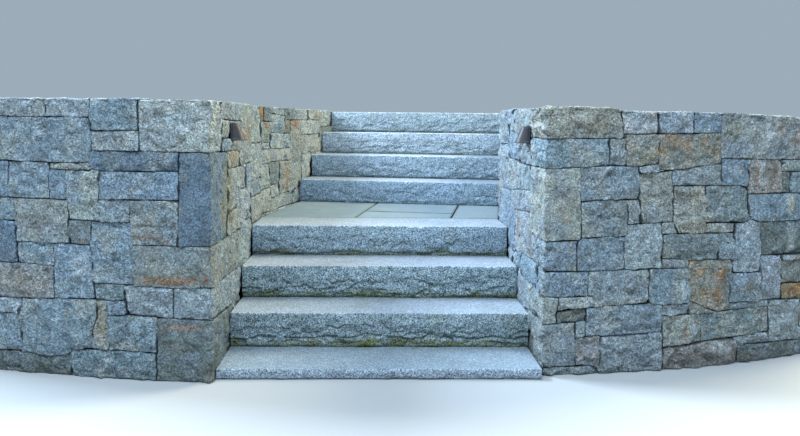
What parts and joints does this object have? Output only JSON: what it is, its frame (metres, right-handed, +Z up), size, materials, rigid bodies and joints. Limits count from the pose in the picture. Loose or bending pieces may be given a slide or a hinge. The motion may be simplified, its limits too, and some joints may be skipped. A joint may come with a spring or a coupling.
{
  "type": "outdoor stone steps",
  "caption": "Granite slab steps in two flights with a bluestone landing, turned between dry-laid fieldstone walls with hooded step lights.",
  "frame": {"origin": "middle of the underside of the bottom slab, at ground level", "axes": "+X along the lower risers, to the right as the steps are climbed; +Y into the bank; +Z up"},
  "size_m": [4.9126, 3.7855, 1.298],
  "materials": {
    "granite_slab": "matte",
    "bluestone": "matte",
    "fieldstone": "matte",
    "packed_stone": "matte",
    "dark_bronze": "satin",
    "frosted_glass": "matte"
  },
  "bodies": {
    "root": {"ground_slab": "granite_slab", "step_1": "granite_slab", "step_2": "granite_slab", "step_3": "granite_slab", "step_4": "granite_slab", "step_5": "granite_slab", "step_6": "granite_slab", "step_7": "granite_slab", "landing_flag_left": "bluestone", "landing_flag_middle_front": "bluestone", "landing_flag_middle_rear": "bluestone", "landing_flag_right": "bluestone", "lower_flight_bed": "packed_stone", "landing_bed": "packed_stone", "upper_flight_bed": "packed_stone", "rear_wall": "fieldstone", "left_front_wall": "fieldstone", "right_front_wall": "fieldstone", "left_cheek_wall_lower": "fieldstone", "left_cheek_wall_upper": "fieldstone", "right_cheek_wall_lower": "fieldstone", "right_cheek_wall_upper": "fieldstone", "left_light_plate": "dark_bronze", "left_light_hood": "dark_bronze", "left_light_lens": "frosted_glass", "right_light_plate": "dark_bronze", "right_light_hood": "dark_bronze", "right_light_lens": "frosted_glass"}
  },
  "joints": []
}
